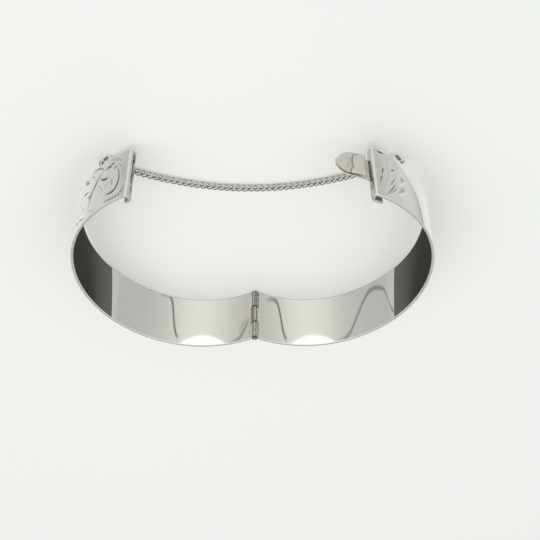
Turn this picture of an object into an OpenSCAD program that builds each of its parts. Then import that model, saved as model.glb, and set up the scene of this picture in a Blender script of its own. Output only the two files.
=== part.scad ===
// Hinged silver bangle, opened at its hinge and laid on its side, with its safety chain on the
// surface. +X runs from the slotted half to the half with the tongue, +Y from the hinge to the two
// free ends and +Z up, along the width of the band. The origin is on the surface, under the middle
// of the bangle. Each half is drawn closed, with the hinge pin's axis at zero and the seam on the
// line x = 0, and is then turned about the pin by half of the opening angle.

/* [Band] */
// Inside length of the closed oval, from the hinge to the catch
inner_length = 60.5; // [55:0.5:64]
// Inside depth of one half, from the seam to its side
inner_depth = 29.6; // [27:0.2:31]
// Inside radius of the flatter bend along the side
side_radius = 33.2; // [29:0.2:38]
// Angle from the middle of that bend to either end of it
side_angle = 33.2; // [24:0.2:42]
// Width of the band
band_width = 15.8; // [13:0.2:20]
// Thickness of the silver sheet
wall = 0.7; // [0.5:0.05:0.9]
// Angle between the two halves, 0 when the bangle is closed
open_angle = 54.4; // [30:0.4:64]

/* [Hinge] */
// Outside diameter of the three knuckles
knuckle_diameter = 1.7; // [1.4:0.1:2]
// Diameter of the hinge pin
pin_diameter = 0.8; // [0.6:0.1:1]
// How far the pin's axis lies outside the middle of the sheet
pin_offset = 0.3; // [0:0.05:0.4]
// Length of each pin end that stands out of the band
pin_head = 0.1; // [0:0.05:0.15]
// Gap between a moving part of the hinge and its neighbour
hinge_clearance = 0.1; // [0.05:0.01:0.15]

/* [Folded ends] */
// Gap between the two end plates when the bangle is closed
seam_gap = 0.1; // [0.04:0.02:0.3]
// Depth of the fold, from the outer face of the band to the outer face of the tab
fold_depth = 2.4; // [2.2:0.1:3]
// Outside radius of the two bends of the fold
fold_radius = 0.8; // [0.7:0.05:0.95]
// Length of the tab that is folded back under the band, on the half with the tongue
tab_length = 3.1; // [2.4:0.1:5]
// Length of the shorter tab on the slotted half
slotted_tab_length = 1.8; // [1.4:0.1:3]
// Metal left between the slot and the inner face of the band
slot_lip = 0.1; // [0.1:0.05:0.3]
// Metal left between the slot and the tab
slot_sill = 0.05; // [0.02:0.01:0.1]
// Width of the slot in the left end plate, along the width of the band
slot_width = 8; // [7.2:0.2:9]
// Height of the middle of both slots above the lower edge of the band
catch_height = 7.1; // [6.3:0.2:8.1]

/* [Tongue] */
// Length of the tongue outside the end plate
tongue_length = 8.7; // [7:0.1:10]
// Width of the tongue
tongue_width = 6.8; // [6:0.2:7.2]
// Thickness of each of its two leaves
leaf = 0.3; // [0.2:0.02:0.32]
// Radius of its bend, which follows the band
tongue_bend = 37; // [30:1:60]
// Angle by which the upper leaf springs away from the lower one
leaf_spread = 8; // [2:0.5:10]
// Distance from the end plate to the free end of the upper leaf
catch_distance = 1.6; // [1:0.1:2.5]
// Length of the tongue's root inside the fold
root_length = 2.2; // [1.2:0.1:2.4]
// Gap round the root where it passes through the slot
root_clearance = 0.06; // [0.04:0.02:0.1]

/* [Chain rings] */
// Radius of each ring, to the middle of its wire
ring_radius = 1.3; // [1.1:0.05:1.6]
// Diameter of the ring's wire
ring_wire = 0.55; // [0.45:0.01:0.6]
// Depth of the ring's centre below the lower edge of the band
ring_out = 0.7; // [0.5:0.05:0.9]
// Distance from the free end of each half to its ring, along the band
ring_from_end = 7.8; // [5:0.1:12]

/* [Safety chain] */
// Distance from one link to the next
link_pitch = 1.5; // [1.44:0.01:1.6]
// Half the length of a link, to the middle of its wire
link_half_length = 1.1; // [1.05:0.01:1.2]
// Half the width of a link, to the middle of its wire
link_half_width = 0.8; // [0.76:0.01:0.9]
// Height by which each half of a link is twisted up or down
link_twist = 0.34; // [0.33:0.01:0.4]
// Diameter of the link's wire
link_wire = 0.38; // [0.3:0.01:0.4]
// Slope of the chain where it leaves a ring, which sets how deep it sags
chain_slope = 26.5; // [10:0.5:35]

/* [Hidden] */
$fa = 2;
$fs = 0.1;
knuckle_count = 3;
link_sides = 12;
wire_sides = 6;
link_gap = 0.22;
floor_gap = 0.04;
route_steps = 60;
// Share of the way from the surface to a ring's centre at which the chain is hooked in
hook_share = 0.9;
// Length over which the chain sinks from a ring to the surface
settle_length = 6;

half_angle = open_angle / 2;
// Gap from the pin's axis to the end of the sheet
hinge_gap = knuckle_diameter / 2 + hinge_clearance;
// Height of the inner face above the pin's axis, at the hinge
hinge_rise = pin_offset + wall / 2;
mid_height = hinge_rise + inner_length / 2;
side_centre = [side_radius - inner_depth, mid_height];
// Direction from the side arc's centre to where the upper end arc takes over
join_angle = 180 - side_angle;
join_way = turn_vector(join_angle);
join_point = side_centre + side_radius * join_way;
catch_to_join = join_point - [0, mid_height + inner_length / 2];
// Inside radius of the end arc, which runs on from the side arc to the catch
end_radius = round(500 * (catch_to_join * catch_to_join) / (join_way * catch_to_join)) / 1000;
high_centre = join_point - end_radius * join_way;
low_centre = [high_centre.x, 2 * mid_height - high_centre.y];
outer_radius = end_radius + wall;
neutral_radius = end_radius + wall / 2;

seam = -seam_gap / 2;
// Height of the sheet's inner face where it meets the seam, and levels of the fold below it
pocket_top = arc_height(high_centre, end_radius, seam);
face_top = arc_height(high_centre, outer_radius, seam);
tab_bottom = face_top - fold_depth;
slot_top = pocket_top - slot_lip;
slot_bottom = tab_bottom + wall + slot_sill;
// Angle on the upper end arc at which the sheet starts to turn into the end plate
bite = 0.002;
bend_reach = outer_radius - fold_radius + bite;
bend_x = seam - fold_radius + bite;
bend_angle = acos((bend_x - high_centre.x) / bend_reach);

// Line of the tongue's lower leaf, where it leaves the slot
leaf_line = slot_bottom + root_clearance + leaf / 2;
tongue_centre = [seam, leaf_line - tongue_bend];
fold_sweep = asin((tongue_length - leaf) / tongue_bend);
fold_point = tongue_centre + (tongue_bend + leaf / 2) * [sin(fold_sweep), cos(fold_sweep)];
catch_sweep = asin(catch_distance / tongue_bend);

ring_angle = bend_angle + ring_from_end / neutral_radius * 180 / PI;
ring_centre = high_centre + neutral_radius * [cos(ring_angle), sin(ring_angle)];
ring_drop = ring_out + ring_radius + ring_wire / 2;

// Resting: the lower edge touches the surface under each lobe and each ring touches it too
lobe_low = opened(low_centre).y - outer_radius;
rest_tilt = atan(ring_drop / (opened(ring_centre).y - lobe_low));
rest_lift = -lobe_low * sin(rest_tilt);
tongue_tops = [for (i = [0:8]) opened(spread_point(fold_sweep + (catch_sweep - fold_sweep) * i / 8)).y];
highest = max(concat(tongue_tops, [opened([seam, face_top]).y]));
back = lobe_low * cos(rest_tilt) - band_width * sin(rest_tilt);
front = highest * cos(rest_tilt) - (catch_height - tongue_width / 4) * sin(rest_tilt);
centre_y = (front + back) / 2;

// Route of the chain, from the outer leg of one ring to that of the other in one sagging curve
chain_height = link_twist + link_wire / 2 + floor_gap;
hook_level = chain_height + (ring_drop - ring_out - chain_height) * hook_share;
leg_drop = ring_drop - hook_level;
leg_reach = sqrt(pow(ring_radius, 2) - pow(leg_drop - ring_out, 2));
leg_point = ring_centre + leg_reach * [-sin(ring_angle), cos(ring_angle)];
leg = laid(concat(leg_point, [-leg_drop]));
sag = tan(chain_slope) / (-2 * leg.x);
route = [for (i = [-route_steps:route_steps])
    let (x = -leg.x * i / route_steps) [x, leg.y + sag * (x * x - pow(leg.x, 2))]];
reach = [for (i = 0, s = 0; i < len(route); s = s + (i < len(route) - 1 ? norm(route[i + 1] - route[i]) : 0),
    i = i + 1) s];
chain_length = reach[len(reach) - 1];
first_link = link_half_length - link_wire / 2 - ring_wire / 2 - link_gap;
link_count = ceil((chain_length - 2 * first_link) / link_pitch) + 1;
link_step = (chain_length - 2 * first_link) / (link_count - 1);

// Height at which the upper part of a circle reaches x
function arc_height(centre, radius, x) = centre.y + sqrt(pow(radius, 2) - pow(x - centre.x, 2));
function turn_vector(a) = [cos(a), sin(a)];
function spin(p, a) = [p.x * cos(a) - p.y * sin(a), p.x * sin(a) + p.y * cos(a)];
function opened(p) = spin(p, half_angle);
// Point of the closed left half, [x, y, height], as it lies on the surface
function laid(p) =
    let (q = opened([p.x, p.y]))
    [q.x, q.y * cos(rest_tilt) - p.z * sin(rest_tilt) - centre_y,
        q.y * sin(rest_tilt) + p.z * cos(rest_tilt) + rest_lift];
// Outer face of the upper leaf, sprung up about the fold at the tip, seen as part of a left half
function spread_point(sweep) =
    let (p = tongue_centre + (tongue_bend + 1.5 * leaf) * [sin(sweep), cos(sweep)])
    fold_point + spin(p - fold_point, leaf_spread * -1);

// Strip along an arc round the origin, between two angles
module arc_strip(radius, thickness, from, to) {
    steps = ceil((to - from) / 20);
    intersection() {
        difference() {
            circle(radius + thickness);
            circle(radius);
        }
        polygon(concat([[0, 0]],
            [for (i = [0:steps]) 2 * radius * turn_vector(from + (to - from) * i / steps)]));
    }
}

// Upper half of the sheet up to the line x = limit, with the side arc's centre at the origin. The
// side arc and the end arc meet on the line through both of their centres.
module upper_sheet(limit) {
    intersection() {
        rotate(join_angle) {
            arc_strip(side_radius, wall, 0, 190 - join_angle);
            translate([side_radius - end_radius, 0]) arc_strip(end_radius, wall, -110, 0);
        }
        translate([-2 * side_radius, 0]) square([2 * side_radius + limit, 2 * inner_length]);
    }
}

// Lower half of the sheet, mirrored from the upper one
module lower_sheet(limit) {
    translate(side_centre) mirror([0, 1]) upper_sheet(limit - side_centre.x);
}

// Outer side of a rounded corner, between two directions from the corner's centre
module corner_waste(from, to) {
    difference() {
        polygon([[0, 0], 2 * turn_vector(from), 3 * turn_vector((from + to) / 2), 2 * turn_vector(to)]);
        circle(fold_radius);
    }
}

// Outline of one closed half, seen along the pin: sheet, end plate and a tab of the given length
module half_outline(tab) {
    difference() {
        union() {
            translate(side_centre) upper_sheet(seam - side_centre.x);
            lower_sheet(-hinge_gap);
            translate([seam, tab_bottom]) {
                translate([-wall, 0]) square([wall, fold_depth - wall / 2]);
                translate([wall / 2 - tab, 0]) square([tab - wall / 2, wall]);
                translate([wall / 2 - tab, wall / 2]) circle(d = wall);
            }
        }
        translate([bend_x, high_centre.y + bend_reach * sin(bend_angle)])
            corner_waste(0, bend_angle);
        translate([bend_x, tab_bottom + fold_radius - bite]) corner_waste(-90, 0);
    }
}

// Knuckle with its web of sheet, between two heights
module knuckle(low, high) {
    translate([0, 0, low]) linear_extrude(high - low) {
        circle(d = knuckle_diameter);
        intersection() {
            lower_sheet(0);
            translate([-2 * hinge_gap, -hinge_rise]) square(4 * hinge_gap);
        }
    }
}

// Ring for the chain, soldered to the lower edge in the plane of the sheet
module chain_ring() {
    translate([ring_centre.x, ring_centre.y, -ring_out]) rotate([0, 90, ring_angle])
        rotate_extrude() translate([ring_radius, 0]) circle(d = ring_wire);
}

// One closed half, with a tab of the given length, a slot of the given width and the knuckles of
// the given rows
module half(tab, width, rows) {
    knuckle_pitch = (band_width + hinge_clearance) / knuckle_count;
    difference() {
        union() {
            linear_extrude(band_width) half_outline(tab);
            for (row = rows) {
                knuckle(row * knuckle_pitch, (row + 1) * knuckle_pitch - hinge_clearance);
            }
            chain_ring();
        }
        translate([seam - 2 * wall, slot_bottom, catch_height - width / 2])
            cube([3 * wall, slot_top - slot_bottom, width]);
        translate([0, 0, -1]) cylinder(d = pin_diameter + hinge_clearance, h = band_width + 2);
    }
}

// Puts a closed left half into its open place on the surface
module lay() {
    translate([0, -centre_y, rest_lift]) rotate([rest_tilt, 0, 0]) children();
}

module left_half() {
    color("silver") lay() rotate([0, 0, half_angle])
        half(slotted_tab_length, slot_width, [0, 2]);
}

module right_half() {
    color("gainsboro") lay() mirror([1, 0, 0]) rotate([0, 0, half_angle])
        half(tab_length, tongue_width + 2 * root_clearance, [1]);
}

module hinge_pin() {
    color("darkgoldenrod") lay() translate([0, 0, -pin_head])
        cylinder(d = pin_diameter, h = band_width + 2 * pin_head);
}

// Side view of the tongue, reaching out of the plate to +x: root, lower leaf, fold and upper leaf
module tongue_outline() {
    translate([seam, leaf_line]) {
        translate([-wall - root_length, -leaf / 2]) square([wall + root_length, leaf]);
        translate([0, -tongue_bend]) arc_strip(tongue_bend - leaf / 2, leaf, 90 - fold_sweep, 90);
    }
    translate(fold_point) circle(leaf + bite);
    translate(fold_point) rotate(-leaf_spread) translate(tongue_centre - fold_point)
        arc_strip(tongue_bend + leaf / 2, leaf, 90 - fold_sweep, 90 - catch_sweep);
}

module catch_tongue() {
    straight = seam + tongue_length - tongue_width / 2;
    color("lightgray") lay() mirror([1, 0, 0]) rotate([0, 0, half_angle])
        translate([0, 0, catch_height]) intersection() {
            translate([0, 0, -tongue_width / 2]) linear_extrude(tongue_width) tongue_outline();
            // Plan of the tongue, with a round tip
            translate([0, face_top, 0]) rotate([90, 0, 0]) linear_extrude(3 * fold_depth) {
                translate([-root_length - 2 * wall, -tongue_width / 2])
                    square([straight + root_length + 2 * wall, tongue_width]);
                translate([straight, 0]) circle(d = tongue_width);
            }
        }
}

// Point and heading of the chain's route at a length along it
function route_at(s) =
    let (i = max([for (k = [0:len(reach) - 2]) if (reach[k] <= s) k]),
        step = route[i + 1] - route[i],
        p = route[i] + step * (s - reach[i]) / (reach[i + 1] - reach[i]))
    [p, step / norm(step)];
// Height of the chain's middle, which sinks from the ring to the surface
function chain_level(s) =
    let (t = min(1, min(s, chain_length - s) / settle_length))
    chain_height + (hook_level - chain_height) * (1 - t * t * (3 - 2 * t));
// Points of one closed, twisted link: an oval whose halves lean up and down, with round wire
function link_points(s) =
    let (here = route_at(s), ahead = chain_level(s + 0.1) - chain_level(s - 0.1),
        along = unit([here[1].x, here[1].y, ahead / 0.2]), across = [-here[1].y, here[1].x, 0],
        up = cross(along, across), centre = [here[0].x, here[0].y, chain_level(s)])
    [for (i = [0:link_sides - 1])
        let (t = 360 * (i + 0.5) / link_sides,
            ring = [link_half_length * cos(t), link_half_width * sin(t), link_twist * sin(2 * t)],
            run = [-link_half_length * sin(t), link_half_width * cos(t), 2 * link_twist * cos(2 * t)],
            out = unit(cross(run, [0, 0, 1])), over = unit(cross(out, run)))
        for (j = [0:wire_sides - 1])
            let (a = 360 * j / wire_sides, p = ring + link_wire / 2 * (cos(a) * out + sin(a) * over))
            centre + p.x * along + p.y * across + p.z * up];
function unit(v) = v / norm(v);
function link_faces(first) =
    [for (i = [0:link_sides - 1]) for (j = [0:wire_sides - 1])
        let (i2 = (i + 1) % link_sides, j2 = (j + 1) % wire_sides,
            a = first + i * wire_sides + j, b = first + i * wire_sides + j2,
            c = first + i2 * wire_sides + j2, d = first + i2 * wire_sides + j)
        each [[a, b, c], [a, c, d]]];

module safety_chain() {
    points = [for (k = [0:link_count - 1]) each link_points(first_link + k * link_step)];
    faces = [for (k = [0:link_count - 1]) each link_faces(k * link_sides * wire_sides)];
    color("lightslategray") polyhedron(points, faces);
}

left_half();
right_half();
hinge_pin();
catch_tongue();
safety_chain();
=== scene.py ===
"""Looks of a hinged silver bangle that lies open on its side, with its safety chain.

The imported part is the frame. The two halves of the band, the tongue and the chain are shown by
smooth surfaces of the same sizes, with engraving, beaded borders, folded ends and worn silver.
Lengths are in millimetres until a mesh is written, which is in metres.
"""

import logging
import math
from dataclasses import dataclass, field
from enum import Enum, IntEnum
from typing import Sequence

import bpy
import numpy as np
from mathutils import Matrix, Vector


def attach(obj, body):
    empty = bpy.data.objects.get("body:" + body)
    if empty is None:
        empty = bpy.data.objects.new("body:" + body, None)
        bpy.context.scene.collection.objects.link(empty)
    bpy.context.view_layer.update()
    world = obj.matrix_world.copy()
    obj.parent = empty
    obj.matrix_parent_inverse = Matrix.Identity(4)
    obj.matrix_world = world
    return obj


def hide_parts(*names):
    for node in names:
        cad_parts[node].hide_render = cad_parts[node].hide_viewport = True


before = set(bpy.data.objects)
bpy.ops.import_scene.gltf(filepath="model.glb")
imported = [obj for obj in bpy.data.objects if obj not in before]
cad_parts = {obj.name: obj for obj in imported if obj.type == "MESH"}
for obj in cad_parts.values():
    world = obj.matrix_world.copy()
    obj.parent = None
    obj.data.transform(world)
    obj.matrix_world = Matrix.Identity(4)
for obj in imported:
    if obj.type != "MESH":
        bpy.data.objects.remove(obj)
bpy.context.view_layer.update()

LOG = logging.getLogger("bangle")
METRES = 0.001
STROKE_STEPS = 22
ROW_STEPS = 80
Array = np.ndarray
Colour = tuple[float, float, float, float]
Place = tuple[float, float]


class Side(Enum):
    """Which half of the bangle a piece belongs to, as the sign that mirrors it."""

    LEFT = 1.0
    RIGHT = -1.0


class Punch(Enum):
    """How a row of punched marks is worked."""

    BEAD = "round beads in a sunk channel"
    PIT = "small pits"


@dataclass(frozen=True)
class Sizes:
    """Sizes of the bangle, the same as those of the CAD part and by the same names."""

    inner_length: float = 60.5
    inner_depth: float = 29.6
    side_radius: float = 33.2
    side_angle: float = 33.2
    band_width: float = 15.8
    wall: float = 0.7
    open_angle: float = 54.4
    knuckle_diameter: float = 1.7
    knuckle_count: int = 3
    pin_diameter: float = 0.8
    pin_offset: float = 0.3
    hinge_clearance: float = 0.1
    seam_gap: float = 0.1
    fold_depth: float = 2.4
    fold_radius: float = 0.8
    tab_length: float = 3.1
    slotted_tab_length: float = 1.8
    slot_lip: float = 0.1
    slot_sill: float = 0.05
    slot_width: float = 8.0
    catch_height: float = 7.1
    tongue_length: float = 8.7
    tongue_width: float = 6.8
    leaf: float = 0.3
    tongue_bend: float = 37.0
    leaf_spread: float = 8.0
    catch_distance: float = 1.6
    root_length: float = 2.2
    root_clearance: float = 0.06
    ring_radius: float = 1.3
    ring_wire: float = 0.55
    ring_out: float = 0.7
    ring_from_end: float = 7.8
    link_pitch: float = 1.5
    link_half_length: float = 1.1
    link_half_width: float = 0.8
    link_twist: float = 0.34
    link_wire: float = 0.38
    link_gap: float = 0.22
    floor_gap: float = 0.04
    chain_slope: float = 26.5
    hook_share: float = 0.9
    settle_length: float = 6.0


def turn(angle: float) -> Array:
    """Unit vector (cos, sin) at an angle in degrees."""
    return np.array([math.cos(math.radians(angle)), math.sin(math.radians(angle))])


def rays(angles: Array) -> Array:
    """Unit vectors (cos, sin) at an array of angles in radians."""
    return np.stack([np.cos(angles), np.sin(angles)], -1)


def spin(p: Array, angle: float) -> Array:
    """Turns points [..., x, y] about the origin by an angle in degrees."""
    c, s = turn(angle)
    return np.stack([p[..., 0] * c - p[..., 1] * s, p[..., 0] * s + p[..., 1] * c], -1)


def unit(v: Array) -> Array:
    """Vectors along the last axis, divided by their lengths."""
    return v / np.linalg.norm(v, axis=-1, keepdims=True)


def ramp(x: Array, low: float, high: float) -> Array:
    """Smooth rise 3t^2 - 2t^3, where t goes from 0 at low to 1 at high."""
    t = np.clip((x - low) / (high - low), 0, 1)
    return t * t * (3 - 2 * t)


def spaced(regular: Array, fixed: Sequence[float], gap: float) -> Array:
    """Sorted fixed values, with the regular ones that keep a gap from every one of them."""
    away = abs(regular[:, None] - np.asarray(fixed)).min(1)
    return np.sort(np.concatenate([regular[away > gap], fixed]))


def hump(x: Array, middle: float, spread: float) -> Array:
    """Bell curve exp(-((x - middle) / spread)^2)."""
    return np.exp(-(((x - middle) / spread) ** 2))


@dataclass
class Layout:
    """Places worked out from the sizes: the arcs of one closed half and how the bangle lies.

    Each half is drawn closed, with the hinge pin's axis at zero and the seam near x = 0, is turned
    about the pin by half of the opening angle and is tilted until it rests on its chain rings.
    """

    sizes: Sizes

    def __post_init__(self) -> None:
        """Works out the arcs, the fold, the slot, the ring, the tongue and the tilt.

        The end arc leaves the side arc at the join and passes through the inner point of the
        seam. With v from that point to the join and w the join's direction from the side arc's
        centre, its radius is v.v / (2 w.v), rounded to a thousandth as in the CAD part.
        """
        s = self.sizes
        self.half_sheet = s.wall / 2
        mid_height = s.pin_offset + self.half_sheet + s.inner_length / 2
        self.side_centre = np.array([s.side_radius - s.inner_depth, mid_height])
        self.join_angle = 180.0 - s.side_angle
        join_way = turn(self.join_angle)
        join_point = self.side_centre + s.side_radius * join_way
        to_join = join_point - np.array([0.0, mid_height + s.inner_length / 2])
        self.end_radius = round(500 * float(to_join @ to_join) / float(join_way @ to_join)) / 1000
        self.outer_radius = self.end_radius + s.wall
        self.neutral_radius = self.end_radius + self.half_sheet
        self.high_centre = join_point - self.end_radius * join_way
        self.low_centre = np.array([self.high_centre[0], 2 * mid_height - self.high_centre[1]])
        self.hinge_gap = s.knuckle_diameter / 2 + s.hinge_clearance
        self._lay_fold()
        self._lay_tongue()
        self._lay_down()

    def _lay_fold(self) -> None:
        """Places the folded end, the slot and the chain ring."""
        s = self.sizes
        reach = self.outer_radius - s.fold_radius
        self.seam = -s.seam_gap / 2
        self.bend_x = self.seam - s.fold_radius
        self.bend_angle = math.degrees(math.acos((self.bend_x - self.high_centre[0]) / reach))
        self.bend_centre = self.high_centre + reach * turn(self.bend_angle)
        self.seam_angle = math.degrees(math.acos((self.seam - self.high_centre[0]) / self.outer_radius))
        self.face_top = self._arc_height(self.outer_radius, self.seam)
        self.tab_bottom = self.face_top - s.fold_depth
        self.slot_top = self._arc_height(self.end_radius, self.seam) - s.slot_lip
        self.slot_bottom = self.tab_bottom + s.wall + s.slot_sill
        self.ring_angle = self.bend_angle + math.degrees(s.ring_from_end / self.neutral_radius)
        self.ring_centre = self.high_centre + self.neutral_radius * turn(self.ring_angle)
        self.ring_drop = s.ring_out + s.ring_radius + s.ring_wire / 2

    def _lay_tongue(self) -> None:
        """Places the tongue's lower leaf, its fold and the free end of its upper leaf."""
        s = self.sizes
        self.leaf_line = self.slot_bottom + s.root_clearance + s.leaf / 2
        self.tongue_centre = np.array([self.seam, self.leaf_line - s.tongue_bend])
        self.fold_sweep = math.degrees(math.asin((s.tongue_length - s.leaf) / s.tongue_bend))
        self.catch_sweep = math.degrees(math.asin(s.catch_distance / s.tongue_bend))
        fold_reach = s.tongue_bend + s.leaf / 2
        self.fold_point = self.tongue_centre + fold_reach * turn(90 - self.fold_sweep)

    def _lay_down(self) -> None:
        """Finds the tilt that puts both lobes and both rings on the surface, and the middle."""
        s = self.sizes
        lobe = self.opened(self.low_centre)[1] - self.outer_radius
        self.tilt = math.degrees(math.atan(self.ring_drop / (self.opened(self.ring_centre)[1] - lobe)))
        down, along = math.sin(math.radians(self.tilt)), math.cos(math.radians(self.tilt))
        self.lift = -lobe * down
        sweeps = np.radians(90 - np.linspace(self.fold_sweep, self.catch_sweep, 9))
        over = self.sprung(self.tongue_centre + (s.tongue_bend + 1.5 * s.leaf) * rays(sweeps))
        corner = self.opened(np.array([self.seam, self.face_top]))[1]
        highest = max(float(self.opened(over)[:, 1].max()), float(corner))
        back = lobe * along - s.band_width * down
        front = highest * along - (s.catch_height - s.tongue_width / 4) * down
        self.centre_y = (front + back) / 2

    def _arc_height(self, radius: float, x: float) -> float:
        """Height at which the upper end arc of a given radius reaches x."""
        return self.high_centre[1] + math.sqrt(radius**2 - (x - self.high_centre[0]) ** 2)

    def sprung(self, p: Array) -> Array:
        """Points of the upper leaf, turned about the fold at the tip by the leaf's spread."""
        return self.fold_point + spin(p - self.fold_point, -self.sizes.leaf_spread)

    def opened(self, p: Array) -> Array:
        """Points of a closed left half, turned about the pin by half the opening angle."""
        return spin(p, self.sizes.open_angle / 2)

    def tilted(self, p: Array) -> Array:
        """Directions [..., x, y, z] turned about X by the angle at which the bangle rests."""
        return np.concatenate([p[..., :1], spin(p[..., 1:], self.tilt)], -1)

    def laid_free(self, p: Array) -> Array:
        """Points given in the opened bangle's own axes, as they lie in the frame."""
        return self.tilted(p) + np.array([0.0, -self.centre_y, self.lift])

    def laid(self, p: Array, z: Array | float, side: Side) -> Array:
        """Places points of a closed left half in the frame.

        Args:
            p: points [..., x, y].
            z: their heights above the lower edge.
            side: the half that they belong to.
        Returns:
            Points [..., x, y, z] in the frame.
        """
        heights = np.broadcast_to(z, p.shape[:-1])[..., None]
        q = np.concatenate([self.opened(p), heights], -1)
        return self.laid_free(q * np.array([side.value, 1.0, 1.0]))


@dataclass
class Surface:
    """Points, faces and point values of a piece, in millimetres, until it becomes an object.

    Args:
        points: (..., 3) positions.
        quads: (m, 4) corners of its four-sided faces.
        caps: faces with any number of corners.
        values: values that the finish reads, by name, which spread over the points' grid.
    """

    points: Array
    quads: Array
    caps: list[Array] = field(default_factory=list)
    values: dict[str, Array | float] = field(default_factory=dict)

    def write(self, name: str, material: bpy.types.Material, turned: bool = False) -> bpy.types.Object:
        """Writes the surface as a smooth mesh in metres.

        Args:
            name: the piece's name.
            material: its finish.
            turned: whether its faces are turned over, as a mirrored piece needs.
        Returns:
            The new object, at the origin.
        """
        order = -1 if turned else 1
        loops = [self.quads[:, ::order].ravel()] + [np.asarray(c)[::order] for c in self.caps]
        corners = np.concatenate(loops).astype(np.int32)
        sizes = np.array([4] * len(self.quads) + [len(c) for c in self.caps])
        starts = np.concatenate([[0], np.cumsum(sizes)[:-1]]).astype(np.int32)
        mesh = bpy.data.meshes.new(name)
        mesh.vertices.add(self.points[..., 0].size)
        mesh.vertices.foreach_set("co", (self.points * METRES).astype(np.float32).ravel())
        mesh.loops.add(len(corners))
        mesh.loops.foreach_set("vertex_index", corners)
        mesh.polygons.add(len(sizes))
        mesh.polygons.foreach_set("loop_start", starts)
        mesh.polygons.foreach_set("use_smooth", np.ones(len(sizes), dtype=bool))
        mesh.update(calc_edges=True)
        mesh.validate()
        for key, values in self.values.items():
            layer = mesh.attributes.new(key, "FLOAT", "POINT")
            spread = np.broadcast_to(np.clip(values, 0, 1), self.points.shape[:-1])
            layer.data.foreach_set("value", spread.astype(np.float32).ravel())
        mesh.materials.append(material)
        made = bpy.data.objects.new(name, mesh)
        bpy.context.scene.collection.objects.link(made)
        return made


def grid_faces(rows: int, columns: int, start: int = 0, closed: bool = False) -> Array:
    """Quads of a grid whose points are numbered row by row and whose columns close into a ring.

    Args:
        rows: number of rows.
        columns: number of columns.
        start: number of the first point.
        closed: whether the last row joins the first.
    Returns:
        (faces, 4) corners.
    """
    i, j = np.meshgrid(np.arange(rows if closed else rows - 1), np.arange(columns), indexing="ij")
    i2, j2 = (i + 1) % rows, (j + 1) % columns
    corners = [i * columns + j, i2 * columns + j, i2 * columns + j2, i * columns + j2]
    return start + np.stack(corners, -1).reshape(-1, 4)


def end_caps(rows: int, columns: int, start: int = 0) -> list[Array]:
    """The two faces that close the first and the last row of such a grid."""
    ring = start + np.arange(columns)
    return [ring, (ring + (rows - 1) * columns)[::-1]]


def ride(piece: bpy.types.Object, node: str) -> None:
    """Puts a piece on the frame's one body, in place of a CAD node, which it hides."""
    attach(piece, "root")
    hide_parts(node)
    LOG.info("%s: %d points", piece.name, len(piece.data.vertices))


@dataclass
class Graph:
    """Node tree of one material or of the world."""

    tree: bpy.types.NodeTree

    def __post_init__(self) -> None:
        """Empties the tree."""
        self.tree.nodes.clear()

    def node(
        self,
        kind: str,
        settings: dict[str, object] | None = None,
        inputs: "dict[int | str, Sock | float | tuple[float, ...]] | None" = None,
        output: int | str = 0,
    ) -> "Sock":
        """Adds a node.

        Args:
            kind: the node's type.
            settings: its settings, which are set first.
            inputs: values or links of its sockets, by number or name.
            output: the output that is wanted.
        Returns:
            That output.
        """
        node = self.tree.nodes.new(kind)
        for key, value in (settings or {}).items():
            setattr(node, key, value)
        for key, value in (inputs or {}).items():
            if isinstance(value, Sock):
                self.tree.links.new(value.socket, node.inputs[key])
            else:
                node.inputs[key].default_value = value
        return Sock(self, node.outputs[output] if len(node.outputs) else None)

    def coordinates(self, output: str = "Object") -> "Sock":
        """Texture coordinates, in metres for the object's own."""
        return self.node("ShaderNodeTexCoord", output=output)

    def attribute(self, name: str) -> "Sock":
        """A point value of the mesh."""
        return self.node("ShaderNodeAttribute", {"attribute_name": name}, output="Fac")

    def noise(self, scale: float, detail: float, stretch: tuple[float, ...] = (1, 1, 1)) -> "Sock":
        """Fractal noise between 0 and 1.

        Args:
            scale: waves to the metre.
            detail: number of finer layers.
            stretch: factor on each object coordinate.
        Returns:
            The noise.
        """
        own = self.coordinates()
        place = self.node("ShaderNodeVectorMath", {"operation": "MULTIPLY"}, {0: own, 1: stretch})
        return self.node("ShaderNodeTexNoise", None, {"Vector": place, "Scale": scale, "Detail": detail})

    def mix(self, share: "Sock", low: "Sock | Colour", high: "Sock | Colour") -> "Sock":
        """Colour that goes from low to high as the share goes from 0 to 1."""
        return self.node("ShaderNodeMix", {"data_type": "RGBA"}, {0: share, 6: low, 7: high}, 2)


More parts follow.
